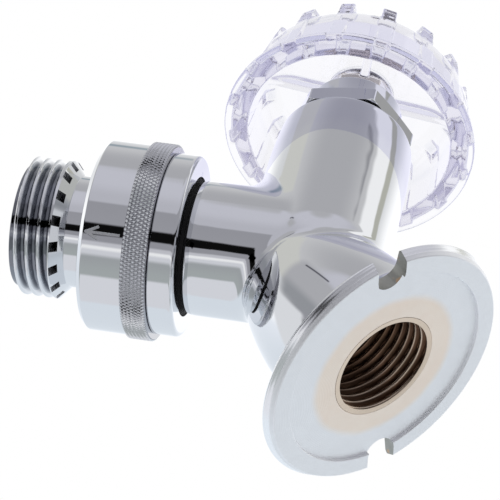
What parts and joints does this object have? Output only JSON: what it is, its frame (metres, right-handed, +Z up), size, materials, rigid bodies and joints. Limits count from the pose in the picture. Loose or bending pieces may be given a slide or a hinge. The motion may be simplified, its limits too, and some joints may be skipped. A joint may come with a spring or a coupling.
{
  "type": "anti-siphon wall faucet",
  "caption": "Angle wall faucet with a round wall flange, a clear wheel handle on its valve barrel and a vacuum breaker with a male hose thread on its outlet arm.",
  "frame": {"origin": "where the inlet axis meets the wall, at the centre of the wall flange's back face", "axes": "+Y points into the wall along the inlet axis, +Z is up, and +X is sideways; the stem and the outlet lie in the plane X = 0, 45 degrees above and below the horizontal"},
  "size_m": [0.0518, 0.0858, 0.1041],
  "materials": {
    "chrome": "polished chrome plating on brass",
    "brass": "machined brass",
    "clear_plastic": "clear moulded plastic with a faint lavender tint",
    "rubber": "moulded rubber",
    "packing": "graphite impregnated packing",
    "steel": "stainless steel",
    "plastic": "moulded white plastic"
  },
  "bodies": {
    "fixed": {"body_casting": "chrome", "bonnet_gasket": "rubber", "bonnet_nut": "chrome", "stem_bushing": "brass", "packing_washer": "brass", "packing_rings": "packing", "breaker_inlet": "chrome", "breaker_set_screw": "brass", "hose_gasket": "rubber", "breaker_housing": "chrome", "vent_diaphragm": "rubber", "outlet_nozzle": "chrome", "flow_sleeve": "plastic", "poppet_spring": "steel"},
    "washer_carrier": {"washer_holder": "brass", "seat_washer": "rubber", "washer_screw": "steel"},
    "spindle": {"stem": "brass", "handle": "clear_plastic", "handle_screw": "steel"},
    "check_valve": {"check_poppet": "plastic", "poppet_seal": "rubber"}
  },
  "joints": [
    {"name": "stem_rise", "type": "slide", "parent": "fixed", "child": "washer_carrier", "axis": [0, -0.7071, 0.7071], "range_m": [0, 0.0045]},
    {"name": "handle_turn", "type": "hinge", "parent": "washer_carrier", "child": "spindle", "pos_m": [0, -0.03085, 0.00535], "axis": [0, -0.7071, 0.7071], "range_deg": [0, 810]},
    {"name": "check_lift", "type": "slide", "parent": "fixed", "child": "check_valve", "axis": [0, -0.7071, -0.7071], "range_m": [0, 0.0022], "stiffness_N_per_m": 60, "springref_m": -0.004, "deforming": ["poppet_spring"]}
  ],
  "couplings": [
    {"joint": "stem_rise", "follows": "handle_turn", "m_per_rad": 0.00031831}
  ]
}
